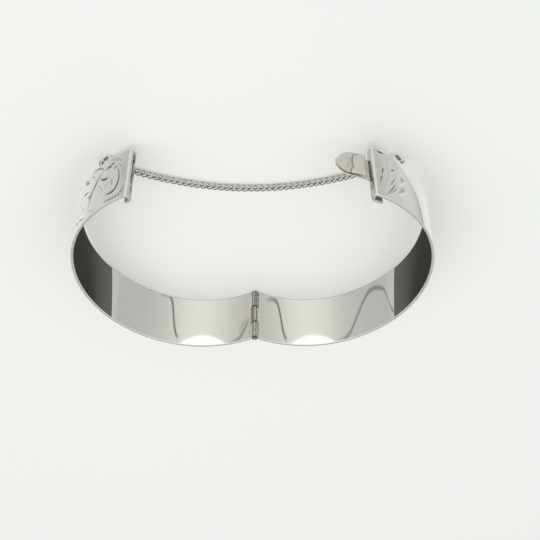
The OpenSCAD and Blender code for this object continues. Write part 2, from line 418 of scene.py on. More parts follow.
@dataclass(frozen=True)
class Sock:
    """An output of a node, if it has one; an expression on it adds Math nodes."""

    graph: Graph
    socket: bpy.types.NodeSocket | None

    def math(self, kind: str, *values: "Sock | float") -> "Sock":
        """One Math node on values, of which the first need not be this one."""
        return self.graph.node("ShaderNodeMath", {"operation": kind}, dict(enumerate(values)))

    def __add__(self, other: "Sock | float") -> "Sock":
        """Sum."""
        return self.math("ADD", self, other)

    def __sub__(self, other: "Sock | float") -> "Sock":
        """Difference."""
        return self.math("SUBTRACT", self, other)

    def __mul__(self, other: "Sock | float") -> "Sock":
        """Product."""
        return self.math("MULTIPLY", self, other)

    def __truediv__(self, other: "Sock | float") -> "Sock":
        """Quotient."""
        return self.math("DIVIDE", self, other)

    def __radd__(self, other: float) -> "Sock":
        """Sum with a number in front."""
        return self.math("ADD", other, self)

    def __rsub__(self, other: float) -> "Sock":
        """Difference from a number."""
        return self.math("SUBTRACT", other, self)

    def __rmul__(self, other: float) -> "Sock":
        """Product with a number in front."""
        return self.math("MULTIPLY", other, self)

    def __neg__(self) -> "Sock":
        """The value with its sign changed."""
        return self.math("MULTIPLY", self, -1.0)

    def kept(self, low: float = 0.0, high: float = 1.0) -> "Sock":
        """The value, kept between two others."""
        return self.graph.node("ShaderNodeClamp", None, {0: self, 1: low, 2: high})

    def step(self, low: float, high: float) -> "Sock":
        """Smooth rise from 0 at low to 1 at high, where high may be the lower number."""
        flip = low > high
        ends = {"Value": self, "From Min": min(low, high), "From Max": max(low, high)}
        rise = self.graph.node("ShaderNodeMapRange", {"interpolation_type": "SMOOTHSTEP"}, ends)
        return 1.0 - rise if flip else rise

    def exp(self) -> "Sock":
        """e to the power of the value."""
        return self.math("EXPONENT", self)

    def root(self) -> "Sock":
        """Square root of the value."""
        return self.math("SQRT", self)

    def hump(self, spread: float) -> "Sock":
        """Bell curve exp(-(value / spread)^2)."""
        share = self / spread
        return (-(share * share)).exp()


def new_material(name: str) -> tuple[bpy.types.Material, Graph]:
    """A material and its empty graph."""
    material = bpy.data.materials.new(name)
    material.use_nodes = True
    return material, Graph(material.node_tree)


@dataclass(frozen=True)
class Silver:
    """Worn silver: bright where it is clean, brown where it is stained, dark in its cuts.

    The mesh says how much by its point values: cut, stain and rub, each from 0 to 1. The cut
    value also holds painted shade and painted reflection, and a lowered stain on the chain's
    tops is a painted highlight.

    Args:
        name: the material's name.
        bright: colour of clean metal.
        brown: colour of the stain.
        deep: colour at the bottom of a cut, and of painted shade.
        roughness: roughness of the polished metal.
        rubbed: roughness that rubbing adds.
        wave: height of the slow waves in the polish, in metres.
        hair: height of the fine scratches, as a share of the waves.
    """

    name: str
    bright: Colour = (0.90, 0.895, 0.845, 1.0)
    brown: Colour = (0.40, 0.33, 0.24, 1.0)
    deep: Colour = (0.035, 0.030, 0.026, 1.0)
    roughness: float = 0.018
    rubbed: float = 0.10
    wave: float = 0.000010
    hair: float = 0.04

    def make(self) -> bpy.types.Material:
        """Builds the material.

        Base colour = bright mixed with brown by the stain, broken up by clouds, and with deep by
        the cut and by spots where the stain is strong. Roughness = polish + rubbing + stain +
        cut, each with grain. Bump = slow waves and long fine scratches.

        Returns:
            The material.
        """
        material, g = new_material(self.name)
        cut, stain, rub = g.attribute("cut"), g.attribute("stain"), g.attribute("rub")
        cloud = g.noise(520.0, 4.0)
        grain = g.noise(1900.0, 2.0)
        spots = g.noise(1100.0, 3.0).step(0.53, 0.66)
        scratch = g.noise(350.0, 2.0, (1, 1, 12))
        film = (stain * (0.35 + 1.3 * cloud)).kept()
        dark = (cut * (0.75 + 0.4 * grain) + 0.55 * film * film * spots).kept()
        stained = g.mix(film.step(0.03, 0.9), self.bright, self.brown)
        colour = g.mix(dark, stained, self.deep)
        polish = self.roughness + rub * self.rubbed * (0.6 + 0.8 * scratch)
        rough = (polish + 0.3 * film + 0.25 * dark).kept()
        height = g.noise(60.0, 1.0) + self.hair * scratch + 3.0 * self.hair * rub * grain
        bump = g.node("ShaderNodeBump", None, {"Height": height, "Distance": self.wave})
        inputs = {
            "Base Color": colour,
            "Metallic": 1.0 - 0.25 * film,
            "Roughness": rough,
            "Normal": bump,
        }
        skin = g.node("ShaderNodeBsdfPrincipled", None, inputs)
        g.node("ShaderNodeOutputMaterial", None, {"Surface": skin})
        return material


@dataclass(frozen=True)
class Paint:
    """Even, matt surface of the floor.

    Args:
        name: the material's name.
        colour: its colour.
        roughness: how matt it is.
    """

    name: str
    colour: Colour
    roughness: float = 0.6

    def make(self) -> bpy.types.Material:
        """Builds the material."""
        material, g = new_material(self.name)
        skin = g.node(
            "ShaderNodeBsdfPrincipled", None, {"Base Color": self.colour, "Roughness": self.roughness}
        )
        g.node("ShaderNodeOutputMaterial", None, {"Surface": skin})
        return material


@dataclass(frozen=True)
class ShadeCard:
    """Faintly glowing face of the dark card, which fades away from the bangle.

    Args:
        name: the material's name.
        near: brightness at its near side.
        far: brightness at its far side.
        span: y of the near and of the far side, in metres.
    """

    name: str
    near: float = 0.125
    far: float = 0.042
    span: tuple[float, float] = (-0.028, -0.066)

    def make(self) -> bpy.types.Material:
        """Builds the material: brightness = far + (near - far) * smooth rise along y."""
        material, g = new_material(self.name)
        y = g.node("ShaderNodeSeparateXYZ", None, {0: g.coordinates()}, "Y")
        share = y.step(self.span[1], self.span[0])
        dark, light = ((v, v, v * 0.97, 1.0) for v in (self.far, self.near))
        glow = g.node("ShaderNodeEmission", None, {"Color": g.mix(share, dark, light)})
        g.node("ShaderNodeOutputMaterial", None, {"Surface": glow})
        return material


def smooth_curve(points: Sequence[Place], count: int) -> Array:
    """Curve through the points by Catmull and Rom's rule.

    Between b and c, with neighbours a and d, it is half of
    2b + (c - a)u + (2a - 5b + 4c - d)u^2 + (3b - a - 3c + d)u^3.

    Args:
        points: two or more points.
        count: number of points wanted.
    Returns:
        (count, 2) points.
    """
    p = np.array(points, dtype=float)
    q = np.vstack([2 * p[0] - p[1], p, 2 * p[-1] - p[-2]])
    t = np.linspace(0, len(p) - 1 - 1e-9, count)
    k = t.astype(int)
    u = (t - k)[:, None]
    a, b, c, d = q[k], q[k + 1], q[k + 2], q[k + 3]
    return 0.5 * (2 * b + (c - a) * u + (2 * a - 5 * b + 4 * c - d) * u**2 + (3 * b - a - 3 * c + d) * u**3)


@dataclass(frozen=True)
class Stroke:
    """One cut of the graver on the band's outer face.

    Args:
        points: (distance from the seam, height) of a few points on it.
        width: full width at its widest.
        depth: depth at its deepest.
        swell: share of its length at which it is widest.
        ink: how dark its bottom is.
    """

    points: tuple[Place, ...]
    width: float = 0.8
    depth: float = 0.10
    swell: float = 0.4
    ink: float = 0.9

    def relief(self, s: Array, z: Array) -> tuple[Array, Array]:
        """Depth and darkness at points of the face.

        The half width grows from a fifth at either end to its full size at the swell. Across the
        cut, depth = (1 - x^2) times the share of the width, where x is the distance from the
        middle line over the half width, and the dark line keeps to the inner part.

        Args:
            s: distances from the seam.
            z: heights.
        Returns:
            Depth in millimetres and darkness from 0 to 1.
        """
        c = smooth_curve(self.points, STROKE_STEPS)
        start, way = c[:-1], np.diff(c, axis=0)
        ds, dz = s[..., None] - start[:, 0], z[..., None] - start[:, 1]
        t = np.clip((ds * way[:, 0] + dz * way[:, 1]) / (way**2).sum(1), 0, 1)
        away = np.hypot(ds - t * way[:, 0], dz - t * way[:, 1])
        k = away.argmin(-1)[..., None]
        near = np.take_along_axis(away, k, -1)[..., 0]
        share = (k + np.take_along_axis(t, k, -1))[..., 0] / len(way)
        rise = np.where(share < self.swell, share / self.swell, (1 - share) / (1 - self.swell))
        full = 0.2 + 0.8 * np.sin(rise * math.pi / 2)
        x = np.clip(near / (self.width / 2 * full), 0, 1)
        return (1 - x * x) * full * self.depth, self.ink * full * ramp(x, 0.9, 0.35)


@dataclass(frozen=True)
class MarkRow:
    """A row of punched marks, evenly spaced along a curve.

    Args:
        points: (distance from the seam, height) of a few points on the curve.
        punch: beads or pits.
        pitch: distance from one mark to the next.
        radius: radius of a mark.
        depth: depth of a pit, or of the channel round the beads.
        ink: how dark its lowest places are.
    """

    points: tuple[Place, ...]
    punch: Punch = Punch.BEAD
    pitch: float = 0.85
    radius: float = 0.32
    depth: float = 0.08
    ink: float = 0.6

    def relief(self, s: Array, z: Array) -> tuple[Array, Array]:
        """Depth and darkness at points of the face.

        A mark is 1 - (r / radius)^2, where r is the distance from its middle. A pit is sunk by
        that. A bead fills by its square root a channel that follows the row.

        Args:
            s: distances from the seam.
            z: heights.
        Returns:
            Depth in millimetres and darkness from 0 to 1.
        """
        c = smooth_curve(self.points, ROW_STEPS)
        run = np.concatenate([[0.0], np.cumsum(np.linalg.norm(np.diff(c, axis=0), axis=1))])
        at = np.linspace(0, run[-1], max(2, round(run[-1] / self.pitch) + 1))
        marks = np.stack([np.interp(at, run, c[:, 0]), np.interp(at, run, c[:, 1])], -1)
        r = np.hypot(s[..., None] - marks[:, 0], z[..., None] - marks[:, 1]).min(-1)
        mark = np.clip(1 - (r / self.radius) ** 2, 0, 1)
        if self.punch is Punch.PIT:
            return self.depth * mark, self.ink * mark
        line = np.hypot(s[..., None] - c[:, 0], z[..., None] - c[:, 1]).min(-1)
        channel = ramp(line, self.radius * 1.35, self.radius * 0.8)
        return self.depth * channel * (1 - np.sqrt(mark)), self.ink * channel * ramp(mark, 0.45, 0.0)


@dataclass(frozen=True)
class Engraving:
    """What is cut and punched into the outer face near a free end.

    Args:
        cuts: strokes and rows of marks.
        reach: how far from the seam they go.
    """

    cuts: tuple[Stroke | MarkRow, ...]
    reach: float

    def relief(self, s: Array, z: Array) -> tuple[Array, Array]:
        """The deepest and the darkest of all the cuts at points of the face.

        Args:
            s: distances from the seam.
            z: heights.
        Returns:
            Depth in millimetres and darkness from 0 to 1.
        """
        depth, dark = np.zeros(s.shape), np.zeros(s.shape)
        for cut in self.cuts:
            ends = np.array(cut.points)
            low, high = ends.min(0) - 1.0, ends.max(0) + 1.0
            near = (s > low[0]) & (s < high[0]) & (z > low[1]) & (z < high[1])
            one_depth, one_dark = cut.relief(s[near], z[near])
            depth[near] = np.maximum(depth[near], one_depth)
            dark[near] = np.maximum(dark[near], one_dark)
        return depth, dark


def comma(head: Place, tail: Place, bow: float, width: float = 0.95, ink: float = 0.85) -> Stroke:
    """A broad comma-shaped cut.

    Args:
        head: its broad end.
        tail: its thin end.
        bow: how far its middle stands off the line between them.
        width: its width near the head.
        ink: how dark its bottom is.
    Returns:
        The stroke.
    """
    a, b = np.array(head), np.array(tail)
    across = unit(np.array([a[1] - b[1], b[0] - a[0]]))
    middle = (a + b) / 2 + bow * across
    return Stroke((tuple(a), tuple(middle), tuple(b)), width, 0.12, 0.28, ink)


def left_engraving() -> Engraving:
    """Scrolls, leaves and beaded border of the half with the slot."""
    scroll = (
        Stroke(((3.8, 3.9), (3.3, 5.4), (2.8, 7.6), (2.8, 9.8), (3.3, 11.7), (4.3, 12.7), (5.4, 12.8),
                (6.5, 12.4)), 0.85, 0.11, 0.75, 1.0),
        Stroke(((4.3, 2.8), (3.0, 4.3), (2.2, 6.0), (1.9, 8.4), (1.9, 10.6), (2.2, 12.2)), 0.5, 0.07,
               0.5, 0.3),
        Stroke(((7.7, 3.8), (6.8, 3.2), (6.0, 3.2), (5.1, 3.5)), 1.0, 0.12, 0.5, 1.0),
        Stroke(((5.9, 2.4), (5.2, 2.7), (4.4, 3.2)), 0.9, 0.10, 0.4),
        Stroke(((4.2, 3.8), (4.3, 4.5), (4.6, 5.2)), 0.7, 0.09, 0.5),
        Stroke(((9.3, 5.1), (8.2, 6.3), (7.1, 6.8), (5.9, 6.8)), 1.0, 0.12, 0.6, 1.0),
        Stroke(((5.0, 8.2), (4.7, 9.4), (4.6, 10.5)), 0.6, 0.08, 0.5, 0.5),
    )
    leaf = (
        Stroke(((8.0, 3.2), (9.5, 4.3), (10.3, 5.3), (11.1, 6.6), (12.1, 8.0), (12.5, 9.8), (12.7, 11.7),
                (12.7, 13.9)), 0.85, 0.11, 0.45),
        Stroke(((14.4, 0.4), (12.3, 0.5), (10.3, 1.0), (8.8, 2.2), (7.7, 3.7)), 0.75, 0.09, 0.5, 0.75),
        Stroke(((12.9, 13.2), (11.3, 14.5), (9.6, 15.4)), 0.5, 0.07, 0.5, 0.5),
        Stroke(((9.9, 7.4), (8.6, 8.6), (7.9, 10.2), (8.2, 11.8)), 0.5, 0.10, 0.4, 0.25),
        Stroke(((7.2, 8.4), (6.4, 9.6), (6.3, 11.0)), 0.42, 0.08, 0.4, 0.2),
        Stroke(((17.2, 2.9), (18.0, 5.4), (19.0, 8.0), (20.6, 10.6), (22.6, 12.8)), 0.5, 0.08, 0.5, 0.25),
    )
    commas = (
        comma((17.4, 0.7), (14.3, 1.4), 0.3, 1.2, 1.0),
        comma((16.1, 1.9), (13.6, 3.0), 0.2, 1.2, 1.0),
        comma((13.3, 1.9), (11.6, 2.6), 0.2, 0.6, 0.6),
        comma((16.9, 5.2), (13.1, 6.7), 0.35, 1.1, 1.0),
        comma((13.8, 8.3), (11.3, 9.6), 0.2, 1.0),
        comma((21.4, 6.6), (18.2, 9.2), 0.35, 0.9, 0.5),
        comma((15.9, 11.0), (15.0, 10.2), 0.1, 0.8, 0.5),
        comma((17.6, 13.0), (14.0, 14.8), 0.35, 1.2),
        comma((22.5, 10.4), (17.0, 14.6), 0.6, 1.3),
        comma((27.6, 11.8), (23.4, 15.2), 0.4, 1.0, 0.6),
        comma((24.6, 4.6), (21.8, 6.6), 0.4, 0.9),
        comma((21.6, 1.6), (18.9, 2.9), 0.3, 0.8),
    )
    border = (
        MarkRow(((2.3, 4.6), (1.8, 7.8), (1.6, 10.6)), pitch=0.86, radius=0.34, depth=0.12, ink=0.22),
        MarkRow(((1.6, 4.2), (1.1, 7.5), (0.9, 10.6)), pitch=0.86, radius=0.34, depth=0.12, ink=0.3),
        MarkRow(((1.2, 12.9), (1.7, 14.1), (2.8, 14.8), (4.2, 15.0), (5.9, 14.9)), pitch=0.85, ink=0.7),
        MarkRow(((5.6, 1.2), (4.0, 2.0), (2.6, 3.0)), pitch=0.8, ink=0.35),
    )
    return Engraving(scroll + leaf + commas + border, 29.0)


def right_engraving() -> Engraving:
    """Leaf and stippled stem of the half with the tongue."""
    cuts = (
        Stroke(((1.3, 0.9), (2.5, 0.8), (3.7, 0.95)), 0.9, 0.10, 0.5, 1.0),
        MarkRow(((4.1, 1.7), (4.1, 4.2), (4.0, 6.8), (3.8, 8.7), (2.9, 11.1), (1.6, 12.8)), Punch.BEAD,
                0.5, 0.18, 0.06, 0.2),
        MarkRow(((4.7, 1.7), (4.7, 4.0), (4.6, 6.5), (4.3, 8.7), (3.4, 11.1), (2.0, 13.0)), Punch.PIT,
                0.5, 0.18, 0.06, 0.12),
        Stroke(((2.95, 5.8), (2.6, 7.1), (2.2, 8.5)), 0.62, 0.10, 0.4, 1.0),
        Stroke(((2.4, 8.4), (2.0, 9.9), (1.3, 12.1)), 0.5, 0.08, 0.4),
        Stroke(((1.2, 5.3), (1.4, 6.6), (1.4, 8.2)), 0.45, 0.06, 0.5, 0.45),
        comma((6.2, 4.7), (5.1, 6.7), 0.15, 0.9, 0.6),
        Stroke(((8.5, 5.9), (8.6, 7.1), (7.5, 8.9)), 1.5, 0.12, 0.4, 0.3),
        Stroke(((8.8, 9.4), (8.2, 10.9), (6.5, 12.9)), 1.5, 0.12, 0.4, 0.3),
        Stroke(((6.5, 7.4), (5.2, 9.6), (4.0, 11.8)), 0.5, 0.09, 0.35, 0.6),
        Stroke(((6.5, 9.2), (4.5, 12.6), (2.7, 15.2)), 0.5, 0.09, 0.35, 0.6),
        Stroke(((6.7, 10.7), (5.2, 12.7), (3.5, 14.8)), 0.5, 0.09, 0.35, 0.5),
    )
    return Engraving(cuts, 10.0)


@dataclass(frozen=True)
class Segment:
    """A stretch of the sheet's middle line: an arc or, with radius 0, a straight run.

    Args:
        centre: the arc's centre, or the start of the straight run.
        radius: the arc's radius.
        start: first angle, or the direction of the straight run.
        end: last angle, or the length of the straight run.
    """

    centre: Array
    radius: float
    start: float
    end: float

    @property
    def length(self) -> float:
        """Length along the middle line: angle times radius, or the run itself."""
        return abs(math.radians(self.end - self.start)) * self.radius if self.radius else self.end

    def at(self, d: Array) -> tuple[Array, Array]:
        """Points and normals on the outer side of the sheet.

        Args:
            d: distances along the stretch.
        Returns:
            (n, 2) points and (n, 2) normals.
        """
        if self.radius:
            normals = rays(np.radians(self.start + (self.end - self.start) * d / self.length))
            return self.centre + self.radius * normals, normals
        way = turn(self.start)
        normal = np.array([-way[1], way[0]])
        return self.centre + d[:, None] * way, np.repeat(normal[None], len(d), 0)


@dataclass
class Sheet:
    """The middle line of one half's sheet, from the hinge round to the end of its tab.

    Args:
        lay: the places.
        tab: length of the tab.
    """

    lay: Layout
    tab: float

    def __post_init__(self) -> None:
        """Strings together arcs and straight runs.

        The tab ends a thousandth of a millimetre early, inside the CAD part.
        """
        lay, s, h = self.lay, self.lay.sizes, self.lay.half_sheet
        at_hinge = -math.degrees(math.acos((-lay.hinge_gap - lay.low_centre[0]) / lay.neutral_radius))
        fold = s.fold_radius - h
        low_bend = np.array([lay.bend_x, lay.tab_bottom + s.fold_radius])
        plate_top = np.array([lay.seam - h, lay.bend_centre[1]])
        tab_start = low_bend - np.array([0.0, fold])
        self.stretches = [
            Segment(lay.low_centre, lay.neutral_radius, at_hinge, -lay.join_angle),
            Segment(lay.side_centre, s.side_radius + h, -lay.join_angle, lay.join_angle - 360),
            Segment(lay.high_centre, lay.neutral_radius, lay.join_angle, lay.bend_angle),
            Segment(lay.bend_centre, fold, lay.bend_angle, 0.0),
            Segment(plate_top, 0.0, -90.0, plate_top[1] - low_bend[1]),
            Segment(low_bend, fold, 0.0, -90.0),
            Segment(tab_start, 0.0, 180.0, self.tab - s.fold_radius - 0.001),
        ]
        ends = np.cumsum([0.0] + [g.length for g in self.stretches])
        self.starts, self.total = ends[:-1], float(ends[-1])
        self.free_end, self.plate_start, self.plate_end, self.tab_start = (float(e) for e in ends[3:7])
        self.end_run = lay.neutral_radius * math.radians(lay.bend_angle - lay.seam_angle)
        self.fold_gain = s.fold_radius / fold

    def from_seam(self, d: Array) -> Array:
        """Distances from the seam along the outer face, at distances from the hinge."""
        return self.end_run + (self.free_end - d) * np.where(d > self.free_end, self.fold_gain, 1.0)

    def at(self, d: Array) -> tuple[Array, Array]:
        """Points and outward normals.

        Args:
            d: distances from the hinge.
        Returns:
            (n, 2) points and (n, 2) normals.
        """
        p, n = np.zeros((len(d), 2)), np.zeros((len(d), 2))
        which = np.searchsorted(self.starts, d, side="right") - 1
        for i, stretch in enumerate(self.stretches):
            here = which == i
            p[here], n[here] = stretch.at(d[here] - self.starts[i])
        return p, n


class Part(IntEnum):
    """Stretches of the sheet's cross-section, in the order in which they follow each other."""

    OUTER = 0
    OUTER_TOP = 1
    TOP = 2
    INNER_TOP = 3
    INNER = 4
    INNER_BOTTOM = 5
    BOTTOM = 6
    OUTER_BOTTOM = 7


@dataclass
class BandHalf:
    """One half of the band: sheet with engraving and folded end, knuckles, webs and chain ring.

    Args:
        side: which half it is.
        node: the CAD node that it stands for.
        lay: the places.
        finish: its silver.
        rows: which of the knuckles it carries, counted from the lower edge.
        tab: length of its tab.
        slot: width of the slot in its end plate.
        engraving: what is cut into its outer face.
        plate_stains: (height, its spread, depth below the outer face, its spread, strength) of
            the brown patches on its end plate.
        plate_cuts: the same for the dark streaks.
        smudges: (distance from the hinge, its spread, height, its spread, strength) of the
            tarnished patches on the inner face.
        edge_round: radius of the sheet's worn edges.
        fine: distance between the finest stations and columns.
        growth: factor from one plain step to the next, towards the hinge.
        coarse: the longest plain step.
        inner_columns: evenly spaced columns of the inner face.
        ring_sides: points round the chain ring, and round its wire.
    """

    side: Side
    node: str
    lay: Layout
    finish: bpy.types.Material
    rows: tuple[int, ...]
    tab: float
    slot: float
    engraving: Engraving
    plate_stains: tuple[tuple[float, ...], ...] = ()
    plate_cuts: tuple[tuple[float, ...], ...] = ()
    smudges: tuple[tuple[float, ...], ...] = ()
    edge_round: float = 0.11
    fine: float = 0.11
    growth: float = 1.04
    coarse: float = 0.5
    inner_columns: int = 24
    ring_sides: tuple[int, int] = (64, 16)

    def build(self) -> None:
        """Builds and places every piece of the half."""
        for piece in [self._sheet(), self._ring()] + [self._knuckle(row) for row in self.rows]:
            ride(piece, self.node)

    def _name(self, what: str) -> str:
        """Name of a piece of this half."""
        return f"{what}_{self.side.name.lower()}"

    def _stations(self, sheet: Sheet, slot_start: float) -> Array:
        """Distances from the hinge at which sections stand.

        Under the engraving they are evenly close. From there to the hinge the steps grow
        little by little, so that the polish shows no kink.

        Args:
            sheet: the middle line.
            slot_start: where the slot starts.
        Returns:
            Sorted distances.
        """
        step = self.fine * 1
        fine_start = sheet.free_end - self.engraving.reach
        grown = np.cumsum(np.minimum(step * self.growth ** np.arange(1, 400), self.coarse))
        parts = [
            np.array([0.0, 0.02, 0.05, 0.1]),
            (fine_start - grown)[fine_start - grown > 0.3],
            np.arange(fine_start, sheet.free_end - step / 2, step),
            np.linspace(sheet.free_end, sheet.plate_start, 14),
            np.array([slot_start]),
            np.linspace(sheet.plate_start, sheet.plate_end, 9)[1:],
            np.linspace(sheet.plate_end, sheet.tab_start, 14)[1:],
            np.linspace(sheet.tab_start, sheet.total - self.lay.half_sheet, 6)[1:],
            sheet.total - self.lay.half_sheet * (1 - np.sin(np.linspace(0, math.pi / 2, 7)[1:])),
        ]
        return np.unique(np.round(np.concatenate(parts), 5))

    def _section(self) -> tuple[Array, Array, Array]:
        """Cross-section of the sheet: a long rectangle with rounded corners.

        Returns:
            Offsets from the middle line, heights, and the stretch that each point belongs to.
        """
        h, r, w, s = self.lay.half_sheet, self.edge_round, self.lay.sizes.band_width, self.lay.sizes
        sides = [s.catch_height - self.slot / 2, s.catch_height + self.slot / 2]
        step = self.fine * 1
        close = [r, r + 0.05, w - r - 0.05, w - r]
        outer = spaced(np.arange(r, w - r, step), close + sides, 0.4 * step)
        inner = spaced(np.linspace(r, w - r, self.inner_columns), close + sides, 0.2)[::-1]
        around = np.radians(np.linspace(0, 90, 5)[1:-1])

        def corner(offset: float, height: float, quarter: int) -> tuple[Array, Array]:
            """Points of a rounded corner, a quarter circle about its centre."""
            way = rays(around + quarter * math.pi / 2)
            return offset + r * way[:, 0], height + r * way[:, 1]

        flat = np.array([h - r, 0.0, r - h])
        stretches = [
            (np.full(len(outer), h), outer),
            corner(h - r, w - r, 0),
            (flat, np.full(3, w)),
            corner(r - h, w - r, 1),
            (np.full(len(inner), -h), inner),
            corner(r - h, r, 2),
            (-flat, np.zeros(3)),
            corner(h - r, r, 3),
        ]
        which = np.concatenate([np.full(len(offset), i) for i, (offset, _) in enumerate(stretches)])
        offsets, heights = (np.concatenate(part) for part in zip(*stretches))
        return offsets, heights, which

    def _ends(self, d: Array, total: float) -> tuple[Array, Array]:
        """How the section shrinks at the sheet's two ends.

        At the hinge the edge is rounded by 0.1 mm, and the tab ends in a half circle, whose
        thickness is sqrt(1 - x^2), down to a least share that leaves an end face.

        Args:
            d: distances from the hinge.
            total: length of the middle line.
        Returns:
            Factor on the thickness, and inset of the heights.
        """
        h, edge, least = self.lay.half_sheet, 0.1, 0.02
        inset = edge - np.sqrt(edge**2 - np.clip(edge - d, 0, edge) ** 2)
        last = np.clip((d - (total - h)) / h, 0, 1)
        thin = np.sqrt(1 - last**2) * (1 - inset / h)
        return np.maximum(thin, least), inset

    def _sheet(self) -> bpy.types.Object:
        """Carries the cross-section along the middle line, sinks the engraving, opens the slot.

        A point is middle line + normal * (offset - depth of the engraving), at its height.

        Returns:
            The sheet.
        """
        lay, w = self.lay, self.lay.sizes.band_width
        sheet = Sheet(lay, self.tab)
        slot_start = sheet.plate_start + lay.bend_centre[1] - lay.slot_top
        d = self._stations(sheet, slot_start)
        middle, normal = sheet.at(d)
        offset, height, which = self._section()
        thin, inset = self._ends(d, sheet.total)
        t = offset * thin[:, None]
        z = w / 2 + (height - w / 2) * (1 - inset[:, None] / (w / 2))
        back = np.broadcast_to(sheet.from_seam(d)[:, None], z.shape)
        depth, dark = self.engraving.relief(back, z)
        engraved = (which == Part.OUTER) & (back > 0.25)
        t = t - np.where(engraved, depth, 0)
        xy = middle[:, None, :] + normal[:, None, :] * t[..., None]
        points = lay.laid(xy, z, self.side)
        below = lay.face_top - middle[:, 1] - lay.half_sheet * normal[:, 1]
        values = self._wear(sheet, d, below, z, which, np.where(engraved, dark, 0))
        quads, caps = self._faces(d, height, which, slot_start, sheet.plate_end)
        surface = Surface(points, quads, caps, values)
        return surface.write(self._name("band"), self.finish, self.side is Side.LEFT)

    def _faces(
        self, d: Array, height: Array, which: Array, slot_start: float, slot_end: float
    ) -> tuple[Array, list[Array]]:
        """Faces of the sheet, with the slot left open and walled.

        Args:
            d: distances from the hinge.
            height: heights of the section's points.
            which: the section's stretches.
            slot_start: distance at which the slot starts.
            slot_end: distance at which it ends.
        Returns:
            Quads, and the four faces with many corners: two ends of the sheet, two of the slot.
        """
        rows, columns = len(d), len(height)
        middle = self.lay.sizes.catch_height
        quads = grid_faces(rows, columns).reshape(rows - 1, columns, 4)
        d_middle = (d[:-1] + d[1:]) / 2
        z_middle = (height + np.roll(height, -1)) / 2
        flat = (which == np.roll(which, -1)) & np.isin(which, (Part.OUTER, Part.INNER))
        open_rows = (d_middle > slot_start) & (d_middle < slot_end)
        open_columns = flat & (abs(z_middle - middle) < self.slot / 2)
        keep = ~(open_rows[:, None] & open_columns)
        first, last = int(np.argmin(abs(d - slot_start))), int(np.argmin(abs(d - slot_end)))

        def column(part: Part, z: float) -> int:
            """Column of a stretch at a height."""
            return int(np.argmin(np.where(which == part, abs(height - z), np.inf)))

        low, high = middle - self.slot / 2, middle + self.slot / 2
        out_low, out_high = column(Part.OUTER, low), column(Part.OUTER, high)
        in_low, in_high = column(Part.INNER, low), column(Part.INNER, high)
        i = np.arange(first, last) * columns
        j = i + columns
        low_wall = np.stack([i + out_low, j + out_low, j + in_low, i + in_low], -1)
        high_wall = np.stack([i + out_high, i + in_high, j + in_high, j + out_high], -1)
        rim = np.concatenate([np.arange(out_low, out_high + 1), np.arange(in_high, in_low + 1)])
        slot_ends = [first * columns + rim, (last * columns + rim)[::-1]]
        return np.concatenate([quads[keep], low_wall, high_wall]), slot_ends + end_caps(rows, columns)

    def _wear(
        self, sheet: Sheet, d: Array, below: Array, z: Array, which: Array, dark: Array
    ) -> dict[str, Array | float]:
        """Where the sheet is dark, stained and rubbed.

        Stain gathers inside the fold, on the end plate and on the rims. The outer face is
        rubbed, and so is the plate. The inner corners under the rims are darkened towards the
        free end as painted shade.

        Args:
            sheet: the middle line.
            d: distances from the hinge.
            below: depths below the corner of the outer face.
            z: heights.
            which: the section's stretches.
            dark: darkness of the engraving.
        Returns:
            Values of cut, stain and rub.
        """
        inner = np.isin(which, (Part.INNER, Part.INNER_TOP, Part.INNER_BOTTOM))
        past_end = ramp(d, sheet.free_end + 0.25, sheet.plate_start + 0.1)[:, None]
        pocket = ramp(d, sheet.free_end - 1.2, sheet.free_end + 0.2)[:, None] * inner
        rim = np.isin(which, (Part.TOP, Part.BOTTOM))
        stain = np.maximum(0.42 * past_end, 0.6 * pocket) + 0.3 * rim * (1 - past_end)
        cut = np.maximum(dark, 0.1 * pocket)
        for value, patches in ((stain, self.plate_stains), (cut, self.plate_cuts)):
            for height, tall, depth, deep, strength in patches:
                patch = hump(z, height, tall) * hump(below, depth, deep)[:, None] * past_end * ~inner
                np.maximum(value, strength * patch, out=value)
        for place, wide, height, tall, strength in self.smudges:
            patch = hump(d, place, wide)[:, None] * hump(z, height, tall) * inner
            stain, cut = stain + 0.5 * strength * patch, cut + 0.5 * strength * patch
        # Painted shade: the inner corners under the rims get darker towards the free end.
        rim_shade_corners = np.isin(which, (Part.INNER_TOP, Part.INNER_BOTTOM))
        near_end = ramp(d, sheet.free_end - 26.0, sheet.free_end - 8.0)[:, None]
        cut = np.maximum(cut, 0.65 * rim_shade_corners * near_end)
        return {"cut": cut, "stain": stain, "rub": np.maximum(0.3 * ~inner, past_end)}

